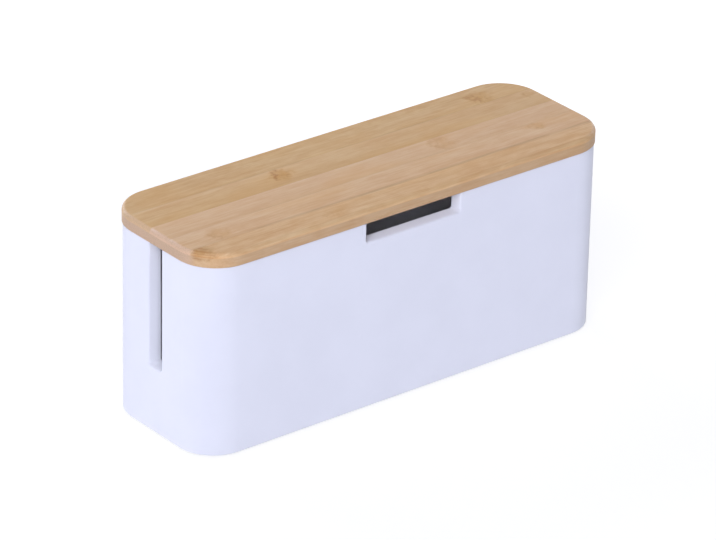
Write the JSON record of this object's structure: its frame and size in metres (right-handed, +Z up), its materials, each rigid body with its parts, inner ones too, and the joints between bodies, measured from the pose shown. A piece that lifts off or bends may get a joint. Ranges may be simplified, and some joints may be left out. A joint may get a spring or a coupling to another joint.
{
  "type": "cable management box",
  "caption": "Long white moulded box with rounded corners, a cable slot in each end, a notch in the front and a lift-off bamboo lid.",
  "frame": {"origin": "under the middle of the box, on the surface that its feet stand on", "axes": "+X along the box's length, the notched front faces -Y, +Z up"},
  "size_m": [0.402, 0.1304, 0.1738],
  "materials": {
    "white_plastic": "matt",
    "bamboo_face": "satin",
    "bamboo_core": "satin",
    "foot_rubber": "matt"
  },
  "bodies": {
    "tub": {"box_shell": "white_plastic", "foot_front_left": "foot_rubber", "foot_front_right": "foot_rubber", "foot_rear_left": "foot_rubber", "foot_rear_right": "foot_rubber"},
    "lid": {"lid_face_strip_1": "bamboo_face", "lid_face_strip_2": "bamboo_face", "lid_face_strip_3": "bamboo_face", "lid_face_strip_4": "bamboo_face", "lid_face_strip_5": "bamboo_face", "lid_core_ply": "bamboo_core", "lid_locating_ply": "bamboo_core"}
  },
  "joints": [
    {"name": "lid_lift", "type": "slide", "parent": "tub", "child": "lid", "axis": [0, 0, 1], "range_m": [0, 0.16]}
  ]
}
